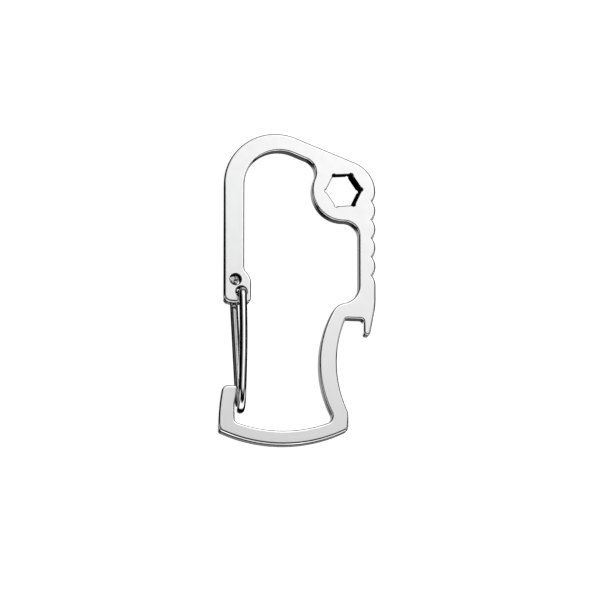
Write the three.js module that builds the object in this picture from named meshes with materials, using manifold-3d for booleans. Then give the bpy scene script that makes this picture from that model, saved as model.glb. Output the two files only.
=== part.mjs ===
// Carabiner keyring: one flat steel plate with a bent spring-wire gate.
// Millimetres. The object lies flat: +Z is its thickness, +Y runs from the
// hook to the arch, +X from the gate to the finger grip. X = Y = 0 is the
// middle of the plate and Z = 0 is the lowest point of the gate.

import * as THREE from 'three';
import { mergeVertices } from 'three/addons/utils/BufferGeometryUtils.js';
import Module from 'manifold-3d';

// ---------------------------------------------------------------- dimensions

const plateThickness = 3;
const edgeRound = 0.45;

// The arch at the top, and the round boss beside it that holds the bit socket.
const archOuter = { x: -4.2, y: 21.2, r: 10.9 };
const archInner = { x: -3.5, y: 21.2, r: 7.35 };
const bossOuter = { x: 9.55, y: 20.6, r: 6.52 };
const bossUnder = { x: 9.35, y: 20.6, r: 6.3 };
const archCornerRadius = 3.1;

// The finger grip: five shallow valleys down the right edge.
const gripFaceX = bossOuter.x + bossOuter.r;
const gripPitch = 3.875;
const gripBumpRadius = 3.25;
const gripValleys = 5;

// Right strip, inside edge, and the two bends that lead it to the waist.
const rightStripInnerX = 12.65;
const underBossRadius = 2.95;
const waistUpperBend = { x: 8.87, y: 1.1, r: 3.78 };
const waistCrownRadius = 3.4;

// Bottle opener: a tapered tooth over a flat-topped notch.
const taperStartY = -1.6;
const taperRadius = 15;
const taperAngle = 12.5;
const toothTip = { x: 14.3, y: -8.45, r: 0.7 };
const notchCeilingY = -5.8;
const notchRightRadius = 0.65;
const notchLeftRadius = 0.5;

// The waist and the bowed bottom bar, which share one centre each.
const waistOuter = { x: 31.55, y: -14.95, r: 23.48 };
const waistInner = { x: 27.39, y: -15.2, r: 22.87 };
const bottomCentre = { x: -3.73, y: -2.23 };
const bottomOuterRadius = 30.1;
const bottomInnerRadius = 27.1;
const bottomRightX = 10.44;
const bottomRightTurnRadius = 4.1;
const bottomCornerRadius = 1.15;
const innerRightCornerRadius = 1.45;

// Hook at the lower left, whose nose carries a small lip for the gate.
const hookOuterX = -16.07;
const hookInnerX = -12.77;
const hookBow = { radius: 40, startY: -28.6 };
const noseTopY = -20.3;
const noseOuterRadius = 1.43;
const lipX = -12.05;
const lipRadius = 0.6;
const lipAngle = 12;
const lipFootRadius = 3;
const hookFootRadius = 0.95;

// Left strip and the wider end of it that carries the two pivot holes.
const leftStripOuterX = archOuter.x - archOuter.r;
const leftStripInnerX = archInner.x - archInner.r;
const pivotEndX = -9.44;
const pivotEndBottomY = -3.27;
const pivotShoulderY = 0.81;
const pivotShoulderRadius = 3.1;
const pivotNeckRadius = 1.45;
const pivotInnerCornerRadius = 1.05;
const pivotOuterCornerRadius = 1.4;

// Holes: a quarter-inch bit socket and the two gate pivots.
const socket = { x: 9.52, y: 20.8, acrossFlats: 6.45, turn: 4.5, reliefRadius: 0.34, chamfer: 0.2 };
const pivotA = { x: -11.46, y: -1.0 };
const pivotB = { x: -12.67, y: 1.5 };
const pivotHoleRadius = 1.1;
const pivotChamfer = 0.1;

// Gate wire. Its legs run over both faces and join in one bend at the hook.
const wireRadius = 0.82;
const legHeight = plateThickness / 2 + wireRadius + 0.3;
const gateTipX = -11.33;
const gateBendY = -22.58;
const entryBendRadius = 1.1;
const stubEndDepth = 0.6;
const frontStub = { x: gateTipX, y: pivotA.y };
const backStub = { x: pivotB.x, y: pivotB.y + 0.12 };
const gateGap = 0.3;

const wireSides = 16;
const arcTolerance = 0.012;
const bevelSegments = 2;

const floorToPlateMiddle = legHeight + wireRadius;

// ------------------------------------------------------------------- helpers

const radians = (degrees) => (degrees * Math.PI) / 180;
const degrees = (angle) => (angle * 180) / Math.PI;
const bearing = (from, to) => degrees(Math.atan2(to.y - from.y, to.x - from.x));

/** The point at height y or at width x that is a given distance from a centre. */
const atHeight = (y, centre, distance, side) => ({
  x: centre.x + side * Math.sqrt(distance ** 2 - (y - centre.y) ** 2),
  y,
});
const atWidth = (x, centre, distance, side) => ({
  x,
  y: centre.y + side * Math.sqrt(distance ** 2 - (x - centre.x) ** 2),
});

/** Where two circles cross; side picks the crossing left (1) or right (-1) of a to b. */
function crossing(a, radiusA, b, radiusB, side) {
  const span = Math.hypot(b.x - a.x, b.y - a.y);
  const along = (radiusA ** 2 - radiusB ** 2 + span ** 2) / (2 * span);
  const off = side * Math.sqrt(radiusA ** 2 - along ** 2);
  const ux = (b.x - a.x) / span;
  const uy = (b.y - a.y) / span;
  return { x: a.x + ux * along - uy * off, y: a.y + uy * along + ux * off };
}

/** An outline made of arcs, joined by the straight lines between them. */
class Outline {
  constructor() {
    this.points = [];
  }

  arc(centre, radius, from, to) {
    const step = 2 * Math.acos(1 - Math.min(arcTolerance / radius, 0.2));
    const count = Math.max(2, Math.ceil(Math.abs(radians(to - from)) / step));
    for (let i = 0; i <= count; i += 1) {
      const angle = radians(from + ((to - from) * i) / count);
      this.points.push(new THREE.Vector2(
        centre.x + radius * Math.cos(angle),
        centre.y + radius * Math.sin(angle),
      ));
    }
    return this;
  }

  shape() {
    const apart = (p, i, all) => p.distanceTo(all[(i + 1) % all.length]) > 1e-4;
    return new THREE.Shape(this.points.filter(apart));
  }
}

const wasm = await Module();
wasm.setup();

function toSolid(geometry) {
  const bare = geometry.index ? geometry.toNonIndexed() : geometry.clone();
  bare.deleteAttribute('normal');
  bare.deleteAttribute('uv');
  const merged = mergeVertices(bare, 1e-5);
  return new wasm.Manifold(new wasm.Mesh({
    numProp: 3,
    vertProperties: new Float32Array(merged.attributes.position.array),
    triVerts: new Uint32Array(merged.index.array),
  }));
}

function toGeometry(solid) {
  const mesh = solid.getMesh();
  const geometry = new THREE.BufferGeometry();
  geometry.setAttribute('position', new THREE.BufferAttribute(mesh.vertProperties, 3));
  geometry.setIndex(new THREE.BufferAttribute(mesh.triVerts, 1));
  geometry.computeVertexNormals();
  return geometry;
}

// --------------------------------------------------------------------- plate

/** The slanted bar over the arch touches both outer circles: its outward bearing. */
function slantBearing() {
  const span = Math.hypot(bossOuter.x - archOuter.x, bossOuter.y - archOuter.y);
  return bearing(archOuter, bossOuter) + degrees(Math.acos((archOuter.r - bossOuter.r) / span));
}

/** The finger grip, from the boss down to the straight edge above the opener. */
function addGrip(outline) {
  const half = degrees(Math.asin(gripPitch / 2 / gripBumpRadius));
  const x = gripFaceX - gripBumpRadius;
  outline.arc({ x, y: bossOuter.y }, gripBumpRadius, 0, -half);
  for (let i = 1; i < gripValleys; i += 1) {
    outline.arc({ x, y: bossOuter.y - i * gripPitch }, gripBumpRadius, half, -half);
  }
  outline.arc({ x, y: bossOuter.y - gripValleys * gripPitch }, gripBumpRadius, half, 0);
}

/** The opener's tooth and notch, from the grip's foot to the waist. */
function addOpener(outline) {
  const taperCentre = { x: gripFaceX - taperRadius, y: taperStartY };
  outline.arc(taperCentre, taperRadius, 0, -taperAngle);
  outline.arc(toothTip, toothTip.r, -taperAngle, -180);
  const rightCorner = {
    x: toothTip.x - toothTip.r - notchRightRadius,
    y: notchCeilingY - notchRightRadius,
  };
  outline.arc(rightCorner, notchRightRadius, 0, 90);
  const leftCorner = atHeight(
    notchCeilingY - notchLeftRadius, waistOuter, waistOuter.r - notchLeftRadius, -1,
  );
  outline.arc(leftCorner, notchLeftRadius, 90, bearing(waistOuter, leftCorner));

  const turn = atWidth(
    bottomRightX - bottomRightTurnRadius, waistOuter, waistOuter.r + bottomRightTurnRadius, -1,
  );
  outline.arc(
    waistOuter, waistOuter.r, bearing(waistOuter, leftCorner), 360 + bearing(waistOuter, turn),
  );
  outline.arc(turn, bottomRightTurnRadius, bearing(turn, waistOuter), 0);
}

/** The bottom bar's outside and the hook, up to the lip on its nose. */
function addBottomAndHook(outline) {
  const reach = bottomOuterRadius - bottomCornerRadius;
  const right = atWidth(bottomRightX - bottomCornerRadius, bottomCentre, reach, -1);
  const left = atWidth(hookOuterX + bottomCornerRadius, bottomCentre, reach, -1);
  outline.arc(right, bottomCornerRadius, 0, bearing(bottomCentre, right));
  outline.arc(
    bottomCentre, bottomOuterRadius, bearing(bottomCentre, right), bearing(bottomCentre, left),
  );
  outline.arc(left, bottomCornerRadius, bearing(bottomCentre, left), -180);

  const bow = { x: hookOuterX + hookBow.radius, y: hookBow.startY };
  const nose = atHeight(
    noseTopY - noseOuterRadius, bow, hookBow.radius - noseOuterRadius, -1,
  );
  outline.arc(bow, hookBow.radius, 180, bearing(bow, nose));
  outline.arc(nose, noseOuterRadius, bearing(bow, nose), 90);

  const lip = { x: lipX - lipRadius, y: noseTopY - lipRadius };
  outline.arc(lip, lipRadius, 90, -lipAngle);
  const footX = hookInnerX + lipFootRadius;
  const across = (footX - lip.x) * Math.cos(radians(lipAngle));
  const foot = { x: footX, y: lip.y - (lipRadius + lipFootRadius - across) / Math.sin(radians(lipAngle)) };
  outline.arc(foot, lipFootRadius, 180 - lipAngle, 180);
}

/** The inside edge, from the foot of the hook up the waist to the right strip. */
function addInside(outline) {
  const hookFoot = atWidth(
    hookInnerX + hookFootRadius, bottomCentre, bottomInnerRadius - hookFootRadius, -1,
  );
  const corner = crossing(
    bottomCentre, bottomInnerRadius - innerRightCornerRadius,
    waistInner, waistInner.r + innerRightCornerRadius, -1,
  );
  outline.arc(hookFoot, hookFootRadius, 180, 360 + bearing(bottomCentre, hookFoot));
  outline.arc(
    bottomCentre, bottomInnerRadius, bearing(bottomCentre, hookFoot), bearing(bottomCentre, corner),
  );
  outline.arc(
    corner, innerRightCornerRadius, bearing(bottomCentre, corner), bearing(corner, waistInner),
  );
  const crown = crossing(
    waistInner, waistInner.r - waistCrownRadius,
    waistUpperBend, waistUpperBend.r + waistCrownRadius, 1,
  );
  outline.arc(
    waistInner, waistInner.r, 360 + bearing(waistInner, corner), bearing(waistInner, crown),
  );
  outline.arc(
    crown, waistCrownRadius, bearing(waistInner, crown), bearing(crown, waistUpperBend),
  );
  outline.arc(waistUpperBend, waistUpperBend.r, bearing(waistUpperBend, crown), 0);
}

/** The inside edge under the boss, over the arch and down to the left strip. */
function addUnderBossAndArch(outline) {
  const slant = slantBearing();
  const outward = (point) => (
    point.x * Math.cos(radians(slant)) + point.y * Math.sin(radians(slant))
  );
  const reach = bossUnder.r + archCornerRadius;
  const slantInside = outward(archInner) + archInner.r - archCornerRadius;
  const turn = slant + degrees(Math.acos((slantInside - outward(bossUnder)) / reach));
  const archCorner = {
    x: bossUnder.x + reach * Math.cos(radians(turn)),
    y: bossUnder.y + reach * Math.sin(radians(turn)),
  };
  const underBoss = atWidth(
    rightStripInnerX - underBossRadius, bossUnder, bossUnder.r + underBossRadius, -1,
  );
  outline.arc(underBoss, underBossRadius, 0, bearing(underBoss, bossUnder));
  outline.arc(bossUnder, bossUnder.r, bearing(bossUnder, underBoss), turn - 360);
  outline.arc(archCorner, archCornerRadius, turn - 180, slant);
  outline.arc(archInner, archInner.r, slant, 180);
}

/** The wider end of the left strip, round the two pivot holes. */
function addPivotEnd(outline) {
  const shoulder = { x: pivotEndX - pivotShoulderRadius, y: pivotShoulderY };
  const neck = atWidth(
    leftStripInnerX + pivotNeckRadius, shoulder, pivotShoulderRadius + pivotNeckRadius, 1,
  );
  const turn = bearing(shoulder, neck);
  outline.arc(neck, pivotNeckRadius, 180, 180 + turn);
  outline.arc(shoulder, pivotShoulderRadius, turn, 0);
  outline.arc(
    { x: pivotEndX - pivotInnerCornerRadius, y: pivotEndBottomY + pivotInnerCornerRadius },
    pivotInnerCornerRadius, 0, -90,
  );
  outline.arc(
    { x: leftStripOuterX + pivotOuterCornerRadius, y: pivotEndBottomY + pivotOuterCornerRadius },
    pivotOuterCornerRadius, -90, -180,
  );
}

function plateOutline() {
  const outline = new Outline();
  const slant = slantBearing();
  outline.arc(archOuter, archOuter.r, 180, slant);
  outline.arc(bossOuter, bossOuter.r, slant, 0);
  addGrip(outline);
  addOpener(outline);
  addBottomAndHook(outline);
  addInside(outline);
  addUnderBossAndArch(outline);
  addPivotEnd(outline);
  return outline.shape();
}

function socketOutline() {
  const outline = new Outline();
  const cornerDistance = socket.acrossFlats / 2 / Math.cos(radians(30));
  for (let k = 0; k < 6; k += 1) {
    const angle = socket.turn + 60 * k;
    const corner = {
      x: socket.x + cornerDistance * Math.cos(radians(angle)),
      y: socket.y + cornerDistance * Math.sin(radians(angle)),
    };
    outline.arc(corner, socket.reliefRadius, angle - 120, angle + 120);
  }
  return outline.shape();
}

/** A cutter for a hole through the plate, opened out by a chamfer at both faces. */
function holeCutter(shape, chamfer) {
  const half = plateThickness / 2;
  const rim = 0.02;
  const through = new THREE.ExtrudeGeometry(shape, { depth: plateThickness + 2, bevelEnabled: false });
  through.translate(0, 0, -half - 1);
  let cutter = toSolid(through);
  for (const side of [-1, 1]) {
    const flare = new THREE.ExtrudeGeometry(shape, {
      depth: rim, bevelSize: chamfer, bevelThickness: chamfer, bevelSegments: 1,
    });
    flare.translate(0, 0, side * half - rim / 2);
    cutter = cutter.add(toSolid(flare));
  }
  return cutter;
}

function frameGeometry() {
  const plate = new THREE.ExtrudeGeometry(plateOutline(), {
    depth: plateThickness - 2 * edgeRound,
    bevelSize: edgeRound,
    bevelThickness: edgeRound,
    bevelOffset: -edgeRound,
    bevelSegments,
  });
  plate.translate(0, 0, -plateThickness / 2 + edgeRound);
  let solid = toSolid(plate).subtract(holeCutter(socketOutline(), socket.chamfer));
  for (const pivot of [pivotA, pivotB]) {
    const hole = new Outline().arc(pivot, pivotHoleRadius, 0, 360).shape();
    solid = solid.subtract(holeCutter(hole, pivotChamfer));
  }
  return toGeometry(solid);
}

// ---------------------------------------------------------------------- gate

/** An arc in space as a curve: from start, turning towards end about a centre. */
class ArcCurve extends THREE.Curve {
  constructor(centre, start, end) {
    super();
    this.centre = centre;
    this.start = start;
    this.end = end;
  }

  getPoint(t) {
    const angle = (t * Math.PI) / 2;
    return this.centre.clone()
      .addScaledVector(this.start, Math.cos(angle))
      .addScaledVector(this.end, Math.sin(angle));
  }
}

/**
 * Half of the gate: a stub in its pivot hole, a right-angle bend, a straight
 * leg over one face, and half of the bend round the hook. Side 1 is the front
 * half and side -1 the back half.
 */
function gateHalf(stub, side) {
  const tip = new THREE.Vector3(gateTipX, gateBendY, 0);
  const run = new THREE.Vector3(gateTipX - stub.x, gateBendY - stub.y, 0).normalize();
  const up = new THREE.Vector3(0, 0, side);
  const foot = new THREE.Vector3(stub.x, stub.y, 0);
  const stubTop = foot.clone().addScaledVector(up, legHeight - entryBendRadius);
  const entryCentre = stubTop.clone().addScaledVector(run, entryBendRadius);
  const legStart = entryCentre.clone().addScaledVector(up, entryBendRadius);
  const legEnd = tip.clone().addScaledVector(up, legHeight);

  const path = new THREE.CurvePath();
  path.add(new THREE.LineCurve3(foot.clone().addScaledVector(up, -stubEndDepth), stubTop));
  path.add(new ArcCurve(
    entryCentre, run.clone().multiplyScalar(-entryBendRadius), up.clone().multiplyScalar(entryBendRadius),
  ));
  path.add(new THREE.LineCurve3(legStart, legEnd));
  const sweep = Math.PI / 2 - gateGap / 2 / legHeight;
  const bend = new ArcCurve(
    tip, up.clone().multiplyScalar(legHeight), new THREE.Vector3(0, -legHeight, 0),
  );
  const bendPoints = [];
  for (let i = 0; i <= 12; i += 1) {
    bendPoints.push(bend.getPoint((i / 12) * (sweep / (Math.PI / 2))));
  }
  path.add(new THREE.CatmullRomCurve3(bendPoints));
  return path;
}

function wireGeometry(path) {
  const section = new Outline();
  for (let i = 0; i < wireSides; i += 1) {
    const angle = (i / wireSides) * 2 * Math.PI;
    section.points.push(new THREE.Vector2(
      wireRadius * Math.cos(angle), wireRadius * Math.sin(angle),
    ));
  }
  const steps = Math.ceil(path.getLength() / 0.45);
  return new THREE.ExtrudeGeometry(section.shape(), { steps, extrudePath: path });
}

// ------------------------------------------------------------------ assembly

const plateSteel = new THREE.MeshStandardMaterial({ color: 0xd8d9db, metalness: 1, roughness: 0.32 });
const wireSteel = new THREE.MeshStandardMaterial({ color: 0xe2e3e4, metalness: 1, roughness: 0.12 });

const carabiner = new THREE.Group();
const lying = new THREE.Group();
lying.position.z = floorToPlateMiddle;
carabiner.add(lying);

function addPiece(name, geometry, material) {
  const mesh = new THREE.Mesh(geometry, material);
  mesh.name = name;
  lying.add(mesh);
}

addPiece('frame', frameGeometry(), plateSteel);
addPiece('gate_front', wireGeometry(gateHalf(frontStub, 1)), wireSteel);
addPiece('gate_back', wireGeometry(gateHalf(backStub, -1)), wireSteel);

export default carabiner;
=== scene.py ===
"""Looks of the carabiner keyring: a satin steel plate with polished edges and a bright wire gate."""

import math

import bpy
from mathutils import Matrix, Vector
from mathutils.geometry import tessellate_polygon


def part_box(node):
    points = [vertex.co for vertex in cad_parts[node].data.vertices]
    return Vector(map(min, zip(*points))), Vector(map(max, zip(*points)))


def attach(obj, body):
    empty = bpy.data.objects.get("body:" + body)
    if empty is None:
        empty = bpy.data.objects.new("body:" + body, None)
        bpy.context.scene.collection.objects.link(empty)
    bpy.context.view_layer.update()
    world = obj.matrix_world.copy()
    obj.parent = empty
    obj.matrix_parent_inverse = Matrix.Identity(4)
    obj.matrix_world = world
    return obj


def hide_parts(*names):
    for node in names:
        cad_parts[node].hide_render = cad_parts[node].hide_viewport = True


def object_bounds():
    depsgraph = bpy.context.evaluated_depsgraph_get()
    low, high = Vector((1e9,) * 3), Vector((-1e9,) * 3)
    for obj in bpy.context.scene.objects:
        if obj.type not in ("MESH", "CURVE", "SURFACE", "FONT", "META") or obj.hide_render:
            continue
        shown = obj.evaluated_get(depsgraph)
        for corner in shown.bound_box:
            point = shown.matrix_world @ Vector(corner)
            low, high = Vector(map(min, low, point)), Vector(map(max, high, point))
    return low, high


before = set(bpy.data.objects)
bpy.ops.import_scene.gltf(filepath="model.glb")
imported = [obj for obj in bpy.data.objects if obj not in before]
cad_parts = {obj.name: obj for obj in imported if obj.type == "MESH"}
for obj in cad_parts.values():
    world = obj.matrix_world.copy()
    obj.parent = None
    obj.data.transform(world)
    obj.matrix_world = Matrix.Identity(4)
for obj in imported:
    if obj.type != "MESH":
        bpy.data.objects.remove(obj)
cad_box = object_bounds()

MM = 0.001

# ------------------------------------------------------------------ dimensions (mm and degrees)

OUTER_ROUND = 0.45
LOWER_ROUND = 0.6
INNER_ROUND = 0.38
BORE_ROUND = 0.2
ROUND_STEPS = 7

# the narrow flat strip beside each rounding, in roundings, that keeps the large faces' shading flat
SEAM = 0.08

# how finely outlines are cut
ARC_STEP = math.radians(2.5)
LONGEST_CHORD = 0.5
SHORTEST_CHORD = 0.001
SHARP_ANGLE = math.radians(40)

# kinds of surface, in the order of the plate's material slots; the wall kinds carry painted light and
# shade in their materials
FACE, ROUNDING, OUTER_WALL, LOWER_WALL, INNER_WALL, BORE, BORE_EDGE = range(7)

# how large the rounding is next to each kind of wall
ROUNDINGS = {
    OUTER_WALL: OUTER_ROUND,
    LOWER_WALL: LOWER_ROUND,
    INNER_WALL: INNER_ROUND,
    BORE: BORE_ROUND,
}

ARCH_OUTER = (-4.2, 21.2, 10.9)
ARCH_INNER = (-3.5, 21.2, 7.35)
BOSS_OUTER = (9.55, 20.6, 6.52)
BOSS_UNDER = (9.35, 20.6, 6.3)
ARCH_CORNER_RADIUS = 3.1

GRIP_FACE_X = BOSS_OUTER[0] + BOSS_OUTER[2]
GRIP_PITCH = 3.875
GRIP_BUMP_RADIUS = 3.25
GRIP_VALLEYS = 5

RIGHT_STRIP_INNER_X = 12.65
UNDER_BOSS_RADIUS = 2.95
WAIST_UPPER_BEND = (8.87, 1.1, 3.78)
WAIST_CROWN_RADIUS = 3.4

TAPER_START_Y = -1.6
TAPER_RADIUS = 15
TAPER_ANGLE = 12.5
TOOTH_TIP = (14.3, -8.45, 0.7)
NOTCH_CEILING_Y = -5.8
NOTCH_RIGHT_RADIUS = 0.65
NOTCH_LEFT_RADIUS = 0.5

WAIST_OUTER = (31.55, -14.95, 23.48)
WAIST_INNER = (27.39, -15.2, 22.87)
BOTTOM_OUTER = (-3.73, -2.23, 30.1)
BOTTOM_INNER = (-3.73, -2.23, 27.1)
BOTTOM_RIGHT_X = 10.44
BOTTOM_RIGHT_TURN_RADIUS = 4.1
BOTTOM_CORNER_RADIUS = 1.15
INNER_RIGHT_CORNER_RADIUS = 1.45

HOOK_OUTER_X = -16.07
HOOK_INNER_X = -12.77
HOOK_BOW_RADIUS = 40
HOOK_BOW_START_Y = -28.6
NOSE_TOP_Y = -20.3
NOSE_OUTER_RADIUS = 1.43
LIP_X = -12.05
LIP_RADIUS = 0.6
LIP_ANGLE = 12
LIP_FOOT_RADIUS = 3
HOOK_FOOT_RADIUS = 0.95

PIVOT_END_X = -9.44
PIVOT_END_BOTTOM_Y = -3.27
PIVOT_SHOULDER_Y = 0.81
PIVOT_SHOULDER_RADIUS = 3.1
PIVOT_NECK_RADIUS = 1.45
PIVOT_INNER_CORNER_RADIUS = 1.05
PIVOT_OUTER_CORNER_RADIUS = 1.4

SOCKET = (9.52, 20.8)
SOCKET_ACROSS_FLATS = 6.45
SOCKET_TURN = 4.5
SOCKET_RELIEF_RADIUS = 0.34
SOCKET_RELIEF_SETBACK = 0.2
# how far the socket shifts from the front face to the back
SOCKET_LEAN = (-0.55, 0.1)
PIVOT_A = (-11.46, -1.0)
PIVOT_B = (-12.67, 1.5)
PIVOT_HOLE_RADIUS = 1.1

WIRE_RADIUS = 0.82
LEG_HEIGHT = 2.62
TIP_BEND_Y = -21.2
TIP_BEND_REACH = 3.8
TIP_X = -11.42
LEG_BOW = 0.17
FRONT_STUB = (-11.33, -1.0)
BACK_STUB = (-12.67, 1.62)
ENTRY_BEND_RADIUS = 1.1
STUB_END_DEPTH = 0.6
CUT_RIM = 0.05
WIRE_SIDES = 40
ENTRY_BEND_STEPS = 12
LEG_STEPS = 40
TIP_BEND_STEPS = 24

PLATE_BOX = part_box("frame")
PLATE_MIDDLE_Z = (PLATE_BOX[0].z + PLATE_BOX[1].z) / 2
HALF_THICKNESS = (PLATE_BOX[1].z - PLATE_BOX[0].z) / 2 / MM


# ------------------------------------------------------------------ studio

# brightness across each kind of light patch: (degrees from its centre, brightness), outermost first
UPPER_STOPS = ((60, 0), (52, 0.04), (45, 0.14), (38, 0.42), (32, 0.75), (26, 0.9), (0, 1))
FRONT_STOPS = ((25, 0), (20, 0.9), (0, 1))
SIDE_STOPS = ((18, 0), (14, 0.8), (0, 0.9))
LEFT_STOPS = ((26, 0), (20, 0.12), (16, 0.5), (12, 0.95), (0, 1))
UNDER_STOPS = ((26, 0), (19, 0.04), (12, 0.18), (0, 0.22))

# the patches round the object: which way each one is, and its kind
DOME_PATCHES = (
    ((0.12, 0.62, 0.76), UPPER_STOPS),
    ((0.0, -0.95, 0.30), FRONT_STOPS),
    ((-0.55, -0.79, 0.27), FRONT_STOPS),
    ((0.55, -0.79, 0.27), FRONT_STOPS),
    ((0.96, -0.15, 0.24), SIDE_STOPS),
    ((-0.96, -0.15, 0.24), SIDE_STOPS),
    ((-0.20, 0.278, -0.94), LEFT_STOPS),
    ((0.155, -0.2155, -0.964), UNDER_STOPS),
)

# the panel of light near the object, in metres and watts
PANEL_PLACE = (0.07, 0.115, 0.30)
PANEL_TARGET = (0.01, 0.03, 0)
PANEL_SIDE = 0.12
PANEL_POWER = 0.062

# the floor, in metres
FLOOR_REACH = 0.6
FLOOR_GAP = 0.0001
FLOOR_GREY = 0.9
FLOOR_ROUGHNESS = 0.9
FLOOR_GLOW = 0.9

# the camera, in metres: a long lens that looks down on the plate from its lower left
CAMERA_TOWARDS = (-0.155, -0.2155, 0.964)
CAMERA_DISTANCE = 1.25
CAMERA_TARGET = (-0.33 * MM, -1.56 * MM)
CAMERA_REACH = 10
VIEW_WIDTH = 0.1196

# the camera's sensor, in millimetres
SENSOR_WIDTH = 36


# ------------------------------------------------------------------ outline geometry

def bearing(start, end):
    return math.degrees(math.atan2(end[1] - start[1], end[0] - start[0]))


def at_height(y, centre, distance, side):
    """The point at height y that is a given distance from a centre."""
    return centre[0] + side * math.sqrt(distance ** 2 - (y - centre[1]) ** 2), y


def at_width(x, centre, distance, side):
    """The point at width x that is a given distance from a centre."""
    return x, centre[1] + side * math.sqrt(distance ** 2 - (x - centre[0]) ** 2)


def crossing(a, radius_a, b, radius_b, side):
    """Where two circles cross, left (side 1) or right (side -1) of the way from a to b."""
    span = math.dist(a[:2], b[:2])
    along = (radius_a ** 2 - radius_b ** 2 + span ** 2) / (2 * span)
    off = side * math.sqrt(radius_a ** 2 - along ** 2)
    ux = (b[0] - a[0]) / span
    uy = (b[1] - a[1]) / span
    return a[0] + ux * along - uy * off, a[1] + uy * along + ux * off


def polar(centre, radius, angle):
    return (
        centre[0] + radius * math.cos(math.radians(angle)),
        centre[1] + radius * math.sin(math.radians(angle)),
    )


class Outline:
    """A closed outline of arcs and the straight lines between them.

    The outline keeps its arcs, so it can be drawn again smaller or larger by
    any inset with the same number of points, which a rounded edge needs. The
    material is on the right-hand side of the way round.
    """

    def __init__(self, wall):
        self.arcs = []
        self.wall = wall
        self.cuts = []
        self.walls = []

    def add(self, arc_at):
        """arc_at(inset) gives the arc's centre, radius, first and last bearing."""
        self.arcs.append((self.wall, arc_at))

    def arc(self, centre, radius, start, end):
        turn = -1 if end < start else 1
        self.add(lambda inset: (centre, radius + turn * inset, start, end))

    def bump(self, centre, radius, reach, crease_before, crease_after):
        """An arc round +X that meets its neighbours in a crease, reach above and below its centre."""
        def arc_at(inset):
            half = math.degrees(math.asin(reach / (radius - inset)))
            return centre, radius - inset, half * crease_before, -half * crease_after
        self.add(arc_at)

    def relief(self, centre, radius, setback, angle):
        """A round relief at a corner of 120 degrees, with its centre set back from the corner."""
        from_side = setback * math.sin(math.radians(60))
        def arc_at(inset):
            half = 120 - math.degrees(math.asin((from_side + inset) / (radius + inset)))
            return centre, radius + inset, angle - half, angle + half
        self.add(arc_at)

    def points(self, inset):
        points = []
        walls = []
        for wall, arc_at in self.arcs:
            start, end = arc_at(0)[2:]
            steps = max(2, math.ceil(abs(math.radians(end - start)) / ARC_STEP))
            centre, radius, start, end = arc_at(inset * ROUNDINGS[wall])
            for i in range(steps + 1):
                points.append(polar(centre, radius, start + (end - start) * i / steps))
                walls.append(wall)
        return points, walls

    def settle(self):
        """Says how many pieces each stretch is cut into, the same for every inset."""
        points, walls = self.points(0)
        lengths = [math.dist(a, b) for a, b in zip(points, points[1:] + points[:1])]
        self.cuts = [
            0 if length < SHORTEST_CHORD else math.ceil(length / LONGEST_CHORD) for length in lengths
        ]
        self.walls = [wall for wall, cuts in zip(walls, self.cuts) for _ in range(cuts)]

    def ring(self, inset):
        points = self.points(inset)[0]
        ring = []
        for a, b, cuts in zip(points, points[1:] + points[:1], self.cuts):
            for i in range(cuts):
                ring.append((a[0] + (b[0] - a[0]) * i / cuts, a[1] + (b[1] - a[1]) * i / cuts))
        return ring


def slant_bearing():
    """The slanted bar over the arch touches both outer circles: its outward bearing."""
    span = math.dist(ARCH_OUTER[:2], BOSS_OUTER[:2])
    lean = math.degrees(math.acos((ARCH_OUTER[2] - BOSS_OUTER[2]) / span))
    return bearing(ARCH_OUTER, BOSS_OUTER) + lean


def add_grip(outline):
    x = GRIP_FACE_X - GRIP_BUMP_RADIUS
    for i in range(GRIP_VALLEYS + 1):
        outline.bump(
            (x, BOSS_OUTER[1] - i * GRIP_PITCH), GRIP_BUMP_RADIUS, GRIP_PITCH / 2,
            i > 0, i < GRIP_VALLEYS,
        )


def add_opener(outline):
    outline.arc((GRIP_FACE_X - TAPER_RADIUS, TAPER_START_Y), TAPER_RADIUS, 0, -TAPER_ANGLE)
    outline.arc(TOOTH_TIP, TOOTH_TIP[2], -TAPER_ANGLE, -180)
    outline.wall = INNER_WALL
    right = (TOOTH_TIP[0] - TOOTH_TIP[2] - NOTCH_RIGHT_RADIUS, NOTCH_CEILING_Y - NOTCH_RIGHT_RADIUS)
    outline.arc(right, NOTCH_RIGHT_RADIUS, 0, 90)
    left = at_height(
        NOTCH_CEILING_Y - NOTCH_LEFT_RADIUS, WAIST_OUTER, WAIST_OUTER[2] - NOTCH_LEFT_RADIUS, -1,
    )
    turn = at_width(
        BOTTOM_RIGHT_X - BOTTOM_RIGHT_TURN_RADIUS, WAIST_OUTER,
        WAIST_OUTER[2] + BOTTOM_RIGHT_TURN_RADIUS, -1,
    )
    outline.arc(left, NOTCH_LEFT_RADIUS, 90, bearing(WAIST_OUTER, left))
    outline.arc(WAIST_OUTER, WAIST_OUTER[2], bearing(WAIST_OUTER, left), 360 + bearing(WAIST_OUTER, turn))
    outline.arc(turn, BOTTOM_RIGHT_TURN_RADIUS, bearing(turn, WAIST_OUTER), 0)


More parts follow.
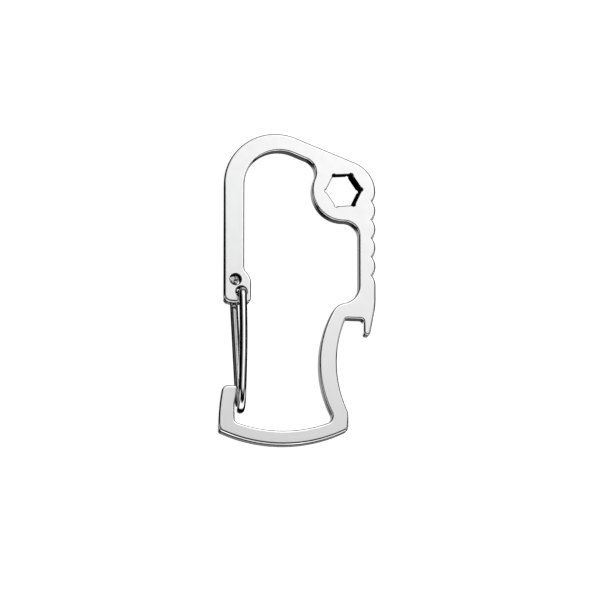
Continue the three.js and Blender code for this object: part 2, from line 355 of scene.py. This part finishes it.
def add_bottom_and_hook(outline):
    reach = BOTTOM_OUTER[2] - BOTTOM_CORNER_RADIUS
    right = at_width(BOTTOM_RIGHT_X - BOTTOM_CORNER_RADIUS, BOTTOM_OUTER, reach, -1)
    left = at_width(HOOK_OUTER_X + BOTTOM_CORNER_RADIUS, BOTTOM_OUTER, reach, -1)
    right_bearing = bearing(BOTTOM_OUTER, right)
    left_bearing = bearing(BOTTOM_OUTER, left)
    outline.wall = LOWER_WALL
    outline.arc(right, BOTTOM_CORNER_RADIUS, 0, right_bearing)
    outline.arc(BOTTOM_OUTER, BOTTOM_OUTER[2], right_bearing, left_bearing)
    outline.arc(left, BOTTOM_CORNER_RADIUS, left_bearing, -180)
    outline.wall = OUTER_WALL

    bow = (HOOK_OUTER_X + HOOK_BOW_RADIUS, HOOK_BOW_START_Y)
    nose = at_height(NOSE_TOP_Y - NOSE_OUTER_RADIUS, bow, HOOK_BOW_RADIUS - NOSE_OUTER_RADIUS, -1)
    outline.arc(bow, HOOK_BOW_RADIUS, 180, bearing(bow, nose))
    outline.arc(nose, NOSE_OUTER_RADIUS, bearing(bow, nose), 90)

    lip = (LIP_X - LIP_RADIUS, NOSE_TOP_Y - LIP_RADIUS)
    lean = math.radians(LIP_ANGLE)
    foot_x = HOOK_INNER_X + LIP_FOOT_RADIUS
    drop = (LIP_RADIUS + LIP_FOOT_RADIUS - (foot_x - lip[0]) * math.cos(lean)) / math.sin(lean)
    outline.arc(lip, LIP_RADIUS, 90, -LIP_ANGLE)
    outline.arc((foot_x, lip[1] - drop), LIP_FOOT_RADIUS, 180 - LIP_ANGLE, 180)


def add_inside(outline):
    foot = at_width(
        HOOK_INNER_X + HOOK_FOOT_RADIUS, BOTTOM_INNER, BOTTOM_INNER[2] - HOOK_FOOT_RADIUS, -1,
    )
    corner = crossing(
        BOTTOM_INNER, BOTTOM_INNER[2] - INNER_RIGHT_CORNER_RADIUS,
        WAIST_INNER, WAIST_INNER[2] + INNER_RIGHT_CORNER_RADIUS, -1,
    )
    crown = crossing(
        WAIST_INNER, WAIST_INNER[2] - WAIST_CROWN_RADIUS,
        WAIST_UPPER_BEND, WAIST_UPPER_BEND[2] + WAIST_CROWN_RADIUS, 1,
    )
    outline.arc(foot, HOOK_FOOT_RADIUS, 180, 360 + bearing(BOTTOM_INNER, foot))
    outline.arc(BOTTOM_INNER, BOTTOM_INNER[2], bearing(BOTTOM_INNER, foot), bearing(BOTTOM_INNER, corner))
    outline.arc(
        corner, INNER_RIGHT_CORNER_RADIUS, bearing(BOTTOM_INNER, corner), bearing(corner, WAIST_INNER),
    )
    outline.arc(
        WAIST_INNER, WAIST_INNER[2], 360 + bearing(WAIST_INNER, corner), bearing(WAIST_INNER, crown),
    )
    outline.arc(crown, WAIST_CROWN_RADIUS, bearing(WAIST_INNER, crown), bearing(crown, WAIST_UPPER_BEND))
    outline.arc(WAIST_UPPER_BEND, WAIST_UPPER_BEND[2], bearing(WAIST_UPPER_BEND, crown), 0)


def add_under_boss_and_arch(outline):
    slant = slant_bearing()

    def outward(point):
        return point[0] * math.cos(math.radians(slant)) + point[1] * math.sin(math.radians(slant))

    reach = BOSS_UNDER[2] + ARCH_CORNER_RADIUS
    slant_inside = outward(ARCH_INNER) + ARCH_INNER[2] - ARCH_CORNER_RADIUS
    turn = slant + math.degrees(math.acos((slant_inside - outward(BOSS_UNDER)) / reach))
    under = at_width(
        RIGHT_STRIP_INNER_X - UNDER_BOSS_RADIUS, BOSS_UNDER, BOSS_UNDER[2] + UNDER_BOSS_RADIUS, -1,
    )
    outline.arc(under, UNDER_BOSS_RADIUS, 0, bearing(under, BOSS_UNDER))
    outline.arc(BOSS_UNDER, BOSS_UNDER[2], bearing(BOSS_UNDER, under), turn - 360)
    outline.arc(polar(BOSS_UNDER, reach, turn), ARCH_CORNER_RADIUS, turn - 180, slant)
    outline.arc(ARCH_INNER, ARCH_INNER[2], slant, 180)


def add_pivot_end(outline):
    shoulder = (PIVOT_END_X - PIVOT_SHOULDER_RADIUS, PIVOT_SHOULDER_Y)
    neck = at_width(
        ARCH_INNER[0] - ARCH_INNER[2] + PIVOT_NECK_RADIUS, shoulder,
        PIVOT_SHOULDER_RADIUS + PIVOT_NECK_RADIUS, 1,
    )
    turn = bearing(shoulder, neck)
    outline.arc(neck, PIVOT_NECK_RADIUS, 180, 180 + turn)
    outline.arc(shoulder, PIVOT_SHOULDER_RADIUS, turn, 0)
    for x, radius, start in (
        (PIVOT_END_X - PIVOT_INNER_CORNER_RADIUS, PIVOT_INNER_CORNER_RADIUS, 0),
        (ARCH_OUTER[0] - ARCH_OUTER[2] + PIVOT_OUTER_CORNER_RADIUS, PIVOT_OUTER_CORNER_RADIUS, -90),
    ):
        outline.arc((x, PIVOT_END_BOTTOM_Y + radius), radius, start, start - 90)
        outline.wall = LOWER_WALL


def plate_outline():
    outline = Outline(OUTER_WALL)
    slant = slant_bearing()
    outline.arc(ARCH_OUTER, ARCH_OUTER[2], 180, slant)
    outline.arc(BOSS_OUTER, BOSS_OUTER[2], slant, 0)
    add_grip(outline)
    add_opener(outline)
    add_bottom_and_hook(outline)
    outline.wall = INNER_WALL
    add_inside(outline)
    add_under_boss_and_arch(outline)
    add_pivot_end(outline)
    return outline


def socket_outline():
    """The socket's six sides, with a small round relief at each corner."""
    outline = Outline(BORE)
    reach = SOCKET_ACROSS_FLATS / 2 / math.cos(math.radians(30)) - SOCKET_RELIEF_SETBACK
    for k in range(6):
        angle = SOCKET_TURN + 60 * k
        centre = polar(SOCKET, reach, angle)
        outline.relief(centre, SOCKET_RELIEF_RADIUS, SOCKET_RELIEF_SETBACK, angle)
    return outline


def hole_outline(centre):
    outline = Outline(BORE)
    outline.arc(centre, PIVOT_HOLE_RADIUS, 0, 360)
    return outline


# ------------------------------------------------------------------ meshes

def make_object(name, vertices, faces, face_slots):
    mesh = bpy.data.meshes.new(name)
    mesh.from_pydata(vertices, [], faces)
    mesh.polygons.foreach_set("material_index", face_slots)
    mesh.shade_smooth()
    mesh.set_sharp_from_angle(angle=SHARP_ANGLE)
    mesh.validate()
    piece = bpy.data.objects.new(name, mesh)
    bpy.context.scene.collection.objects.link(piece)
    return piece


def edge_profile():
    """(inset, straight, corner) steps up a wall, from the back face's rim to the front's.

    Inset and corner count in roundings and straight in half thicknesses.
    """
    quarter = [(1 + SEAM, 1, 0)]
    for i in range(ROUND_STEPS + 1):
        angle = math.pi / 2 * (1 - i / ROUND_STEPS)
        quarter.append((1 - math.cos(angle), 1, math.sin(angle) - 1))
    back = [(inset, -straight, -corner) for inset, straight, corner in quarter]
    return back + quarter[::-1]


def slot_of(level, levels, wall):
    """The kind of surface at one step up a wall."""
    if level in (0, levels - 2):
        return FACE
    if level == levels // 2 - 1:
        return wall
    return BORE_EDGE if wall == BORE else ROUNDING


def add_walls(outline, lean, vertices, faces, slots):
    """Adds an outline's rounded walls, and gives their rims on the back face and the front face."""
    outline.settle()
    profile = edge_profile()
    first = len(vertices)
    for inset, straight, corner in profile:
        for (x, y), wall in zip(outline.ring(inset), outline.walls):
            height = straight * HALF_THICKNESS + corner * ROUNDINGS[wall]
            depth = (1 - height / HALF_THICKNESS) / 2
            x += lean[0] * depth
            y += lean[1] * depth
            vertices.append((x * MM, y * MM, PLATE_MIDDLE_Z + height * MM))
    count = len(outline.walls)
    for level in range(len(profile) - 1):
        for i in range(count):
            a = first + level * count + i
            b = first + level * count + (i + 1) % count
            faces.append((a, a + count, b + count, b))
            slots.append(slot_of(level, len(profile), outline.walls[i]))
    return range(first, first + count), range(len(vertices) - count, len(vertices))


def add_flat(rims, side, vertices, faces, slots):
    """Fills a flat face between the plate's rim and the holes' rims: side 1 is the front."""
    index = [i for rim in rims for i in rim]
    loops = [[Vector(vertices[i]) for i in rim] for rim in rims]
    for triangle in tessellate_polygon(loops):
        a, b, c = (index[i] for i in triangle)
        u = Vector(vertices[b]) - Vector(vertices[a])
        v = Vector(vertices[c]) - Vector(vertices[a])
        faces.append((a, b, c) if u.cross(v).z * side > 0 else (a, c, b))
        slots.append(FACE)


def build_plate():
    """The plate as one closed mesh: rounded walls round every outline, and two flat faces."""
    upright = (0, 0)
    outlines = (
        (plate_outline(), upright),
        (socket_outline(), SOCKET_LEAN),
        (hole_outline(PIVOT_A), upright),
        (hole_outline(PIVOT_B), upright),
    )
    vertices = []
    faces = []
    slots = []
    rims = [add_walls(outline, lean, vertices, faces, slots) for outline, lean in outlines]
    for face_rims, side in zip(zip(*rims), (-1, 1)):
        add_flat(face_rims, side, vertices, faces, slots)
    return make_object("plate", vertices, faces, slots)


def sweep(name, path, radius, sides, rim):
    """A round wire along a path, its cut ends slightly broken at the rim: slot 1 is the first end."""
    tangents = []
    for i in range(len(path)):
        before = path[max(0, i - 1)]
        after = path[min(len(path) - 1, i + 1)]
        tangents.append((after - before).normalized())
    across = tangents[0].orthogonal().normalized()
    rings = []
    for i, (point, along) in enumerate(zip(path, tangents)):
        across = (across - along * across.dot(along)).normalized()
        rings.append((point, across.copy(), along.cross(across), radius))
    start, end = rings[0], rings[-1]
    rings = (
        [(start[0], start[1], start[2], radius - rim)]
        + [(start[0] + tangents[0] * rim, start[1], start[2], radius)]
        + rings[1:-1]
        + [(end[0] - tangents[-1] * rim, end[1], end[2], radius)]
        + [(end[0], end[1], end[2], radius - rim)]
    )
    vertices = []
    for centre, u, v, size in rings:
        for k in range(sides):
            angle = 2 * math.pi * k / sides
            vertices.append(centre + (u * math.cos(angle) + v * math.sin(angle)) * size)
    faces = []
    for level in range(len(rings) - 1):
        for k in range(sides):
            a = level * sides + k
            b = level * sides + (k + 1) % sides
            faces.append((a, b, b + sides, a + sides))
    faces.append(tuple(range(sides))[::-1])
    faces.append(tuple(len(vertices) - sides + k for k in range(sides)))
    slots = [0] * (len(faces) - 2) + [1, 0]
    return make_object(name, vertices, faces, slots)


def wire_path(stub, side):
    """From the cut end in the pivot hole, over one face, and half way round the bend in the hook.

    The front leg bows a little between its two bends.
    """
    foot = Vector((*stub, 0))
    bow = LEG_BOW if side > 0 else 0
    tip = Vector((TIP_X, TIP_BEND_Y, 0))
    run = (tip - foot).normalized()
    up = Vector((0, 0, side))
    points = [foot - up * STUB_END_DEPTH, foot]
    entry = foot + up * (LEG_HEIGHT - ENTRY_BEND_RADIUS) + run * ENTRY_BEND_RADIUS
    for i in range(ENTRY_BEND_STEPS + 1):
        angle = math.pi / 2 * i / ENTRY_BEND_STEPS
        points.append(entry + (up * math.sin(angle) - run * math.cos(angle)) * ENTRY_BEND_RADIUS)
    leg_start = points[-1]
    leg_end = tip + up * LEG_HEIGHT
    for i in range(1, LEG_STEPS + 1):
        along = i / LEG_STEPS
        points.append(leg_start.lerp(leg_end, along) + Vector((bow * math.sin(math.pi * along), 0, 0)))
    for i in range(1, TIP_BEND_STEPS + 1):
        angle = math.pi / 2 * i / TIP_BEND_STEPS
        drop = up * LEG_HEIGHT * math.cos(angle)
        points.append(tip + drop - Vector((0, TIP_BEND_REACH * math.sin(angle), 0)))
    return [point * MM + Vector((0, 0, PLATE_MIDDLE_Z)) for point in points]


# ------------------------------------------------------------------ materials

# a noise's values mostly lie in this range
NOISE_RANGE = (0.3, 0.7)
NOISE_ROUGHNESS = 0.6

# clouds of gloss are this many times as large as the grain
CLOUD_TO_GRAIN = 6
CLOUD_DETAIL = 3
GRAIN_DETAIL = 6

# the spots on a cut end, to the metre, and the tones that the noise's range spreads over
SPOT_SCALE = 2600
SPOT_DETAIL = 2
SPOT_TONES = (-0.6, 1.5)


def new_material(name):
    material = bpy.data.materials.new(name)
    material.use_nodes = True
    nodes = material.node_tree.nodes
    nodes.clear()
    output = nodes.new("ShaderNodeOutputMaterial")
    shader = nodes.new("ShaderNodeBsdfPrincipled")
    material.node_tree.links.new(shader.outputs["BSDF"], output.inputs["Surface"])
    return material, shader


def add_noise(material, scale, detail):
    nodes = material.node_tree.nodes
    place = nodes.new("ShaderNodeTexCoord")
    noise = nodes.new("ShaderNodeTexNoise")
    noise.inputs["Scale"].default_value = scale
    noise.inputs["Detail"].default_value = detail
    noise.inputs["Roughness"].default_value = NOISE_ROUGHNESS
    material.node_tree.links.new(place.outputs["Object"], noise.inputs["Vector"])
    return noise.outputs["Fac"]


def add_range(material, source, low, high):
    """Maps a noise's middle range to low..high."""
    node = material.node_tree.nodes.new("ShaderNodeMapRange")
    node.inputs["From Min"].default_value = NOISE_RANGE[0]
    node.inputs["From Max"].default_value = NOISE_RANGE[1]
    node.inputs["To Min"].default_value = low
    node.inputs["To Max"].default_value = high
    material.node_tree.links.new(source, node.inputs["Value"])
    return node.outputs["Result"]


def add_bump(material, shader, source, strength, distance):
    bump = material.node_tree.nodes.new("ShaderNodeBump")
    bump.inputs["Strength"].default_value = strength
    bump.inputs["Distance"].default_value = distance
    material.node_tree.links.new(source, bump.inputs["Height"])
    material.node_tree.links.new(bump.outputs["Normal"], shader.inputs["Normal"])


def steel(name, colour, roughness, grain_scale=3000, grain_depth=0.000001, grazing=1.0):
    """Steel of one colour, with a fine uneven surface and slightly varying gloss.

    The grain's scale is in grains to the metre and its depth in metres. A low
    grazing value keeps a wall dark when it is seen from a low angle, as painted
    shade for the inner walls and the holes.
    """
    material, shader = new_material(name)
    shader.inputs["Base Color"].default_value = (*colour, 1)
    shader.inputs["Metallic"].default_value = 1
    # a low grazing value is painted shade: it darkens the wall's reflection at low angles
    shader.inputs["Specular Tint"].default_value = (grazing, grazing, grazing, 1)
    links = material.node_tree.links
    cloud = add_noise(material, grain_scale / CLOUD_TO_GRAIN, CLOUD_DETAIL)
    links.new(add_range(material, cloud, *roughness), shader.inputs["Roughness"])
    grain = add_noise(material, grain_scale, GRAIN_DETAIL)
    add_bump(material, shader, grain, 1, grain_depth)
    return material


def add_spots(material):
    """Light and dark spots, as the shears leave on a cut end."""
    shader = material.node_tree.nodes["Principled BSDF"]
    spots = add_noise(material, SPOT_SCALE, SPOT_DETAIL)
    material.node_tree.links.new(add_range(material, spots, *SPOT_TONES), shader.inputs["Base Color"])


def plate_materials():
    """One material for each kind of surface, in the order of their slots.
    The walls' tones are painted light and shade: the outer and lower walls near white,
    the inner walls grey and the holes' walls and roundings near black.
    """
    satin = (0.74, 0.74, 0.745)
    polished = (0.85, 0.85, 0.86)
    bright = (0.95, 0.95, 0.95)
    grey = (0.55, 0.55, 0.55)
    dark = (0.12, 0.12, 0.12)
    black = (0.05, 0.05, 0.05)
    return (
        steel("satin_steel", satin, (0.345, 0.36), grain_scale=3500, grain_depth=0.000005),
        steel("polished_edge", polished, (0.08, 0.14), grain_depth=0.0000008),
        # outer and lower walls: a lit copy of the wall steel, near white, as painted light
        steel("outer_wall_painted_light", bright, (0.07, 0.11)),
        steel("lower_wall_painted_light", bright, (0.07, 0.11)),
        # inner walls: a shaded copy, grey and darker when seen from a low angle, as painted shade
        steel("inner_wall_painted_shade", grey, (0.07, 0.11), grazing=0.5),
        # socket and pivot-hole walls near black and their roundings dark: painted shade in the holes
        steel("bore_wall_painted_shade", black, (0.25, 0.35), grain_depth=0.000002, grazing=0.05),
        steel("bore_edge_painted_shade", dark, (0.15, 0.25), grazing=0.2),
    )


def wire_materials():
    """The drawn wire and its cut ends."""
    drawn = (0.95, 0.95, 0.95)
    sheared = (0.42, 0.42, 0.42)
    wire = steel("bright_wire", drawn, (0.06, 0.11), grain_scale=2500, grain_depth=0.0000008)
    cut = steel("cut_end", sheared, (0.30, 0.50), grain_depth=0.0001)
    add_spots(cut)
    return wire, cut


# ------------------------------------------------------------------ scene

def add_panel():
    """One soft panel of light near the object, beyond its upper right."""
    data = bpy.data.lights.new("near_panel", "AREA")
    data.shape = "SQUARE"
    data.size = PANEL_SIDE
    data.energy = PANEL_POWER
    light = bpy.data.objects.new("near_panel", data)
    bpy.context.scene.collection.objects.link(light)
    light.location = PANEL_PLACE
    aim = Vector(PANEL_TARGET) - Vector(PANEL_PLACE)
    light.rotation_euler = aim.to_track_quat("-Z", "Y").to_euler()


def add_patch(tree, direction, centre, stops):
    """A round patch of light on the dome: a ramp over the cosine of the angle from its centre."""
    towards = tree.nodes.new("ShaderNodeVectorMath")
    towards.operation = "DOT_PRODUCT"
    towards.inputs[1].default_value = Vector(centre).normalized()
    ramp = tree.nodes.new("ShaderNodeValToRGB")
    elements = ramp.color_ramp.elements
    elements[0].color = (0, 0, 0, 1)
    elements[-1].color = (*[stops[-1][1]] * 3, 1)
    for angle, brightness in stops[:-1]:
        elements.new(math.cos(math.radians(angle))).color = (*[brightness] * 3, 1)
    tree.links.new(direction, towards.inputs[0])
    tree.links.new(towards.outputs["Value"], ramp.inputs["Fac"])
    return ramp.outputs["Color"]


def add_world():
    """A dark room with soft patches of light."""
    world = bpy.data.worlds.new("studio")
    bpy.context.scene.world = world
    world.use_nodes = True
    tree = world.node_tree
    place = tree.nodes.new("ShaderNodeTexCoord")
    background = tree.nodes["Background"]
    background.inputs["Strength"].default_value = 1
    total = None
    for centre, stops in DOME_PATCHES:
        patch = add_patch(tree, place.outputs["Generated"], centre, stops)
        if total:
            both = tree.nodes.new("ShaderNodeVectorMath")
            tree.links.new(total, both.inputs[0])
            tree.links.new(patch, both.inputs[1])
            patch = both.outputs["Vector"]
        total = patch
    tree.links.new(total, background.inputs["Color"])


def add_floor():
    """A plain pale floor that glows a little and is left out of the steel's reflections."""
    mesh = bpy.data.meshes.new("floor")
    corners = [(x * FLOOR_REACH, y * FLOOR_REACH, 0) for x, y in ((-1, -1), (1, -1), (1, 1), (-1, 1))]
    mesh.from_pydata(corners, [], [(0, 1, 2, 3)])
    floor = bpy.data.objects.new("floor", mesh)
    bpy.context.scene.collection.objects.link(floor)
    floor.location.z = cad_box[0][2] - FLOOR_GAP
    floor.visible_glossy = False
    material, shader = new_material("floor_pale")
    shader.inputs["Base Color"].default_value = (FLOOR_GREY, FLOOR_GREY, FLOOR_GREY, 1)
    shader.inputs["Roughness"].default_value = FLOOR_ROUGHNESS
    shader.inputs["Emission Color"].default_value = (1, 1, 1, 1)
    shader.inputs["Emission Strength"].default_value = FLOOR_GLOW
    mesh.materials.append(material)


def add_camera():
    """The camera is aimed at the plate's front face."""
    towards = Vector(CAMERA_TOWARDS).normalized()
    target = Vector((*CAMERA_TARGET, PLATE_BOX[1].z))
    up = (Vector((0, 1, 0)) - towards * towards.y).normalized()
    right = up.cross(towards)
    data = bpy.data.cameras.new("camera")
    data.sensor_width = SENSOR_WIDTH
    data.lens = SENSOR_WIDTH * CAMERA_DISTANCE / VIEW_WIDTH
    data.clip_end = CAMERA_REACH
    camera = bpy.data.objects.new("camera", data)
    bpy.context.scene.collection.objects.link(camera)
    turn = Matrix((right, up, towards)).transposed().to_4x4()
    camera.matrix_world = Matrix.Translation(target + towards * CAMERA_DISTANCE) @ turn
    bpy.context.scene.camera = camera


def build():
    plate = build_plate()
    for material in plate_materials():
        plate.data.materials.append(material)
    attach(plate, "frame")
    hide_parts("frame")

    wire_looks = wire_materials()
    for side, stub, body in ((1, FRONT_STUB, "gate_front"), (-1, BACK_STUB, "gate_back")):
        wire = sweep(body + "_wire", wire_path(stub, side), WIRE_RADIUS * MM, WIRE_SIDES, CUT_RIM * MM)
        for material in wire_looks:
            wire.data.materials.append(material)
        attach(wire, body)
        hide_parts(body)


build()
add_camera()
add_world()
add_floor()
add_panel()

bpy.context.scene.view_settings.view_transform = "Standard"
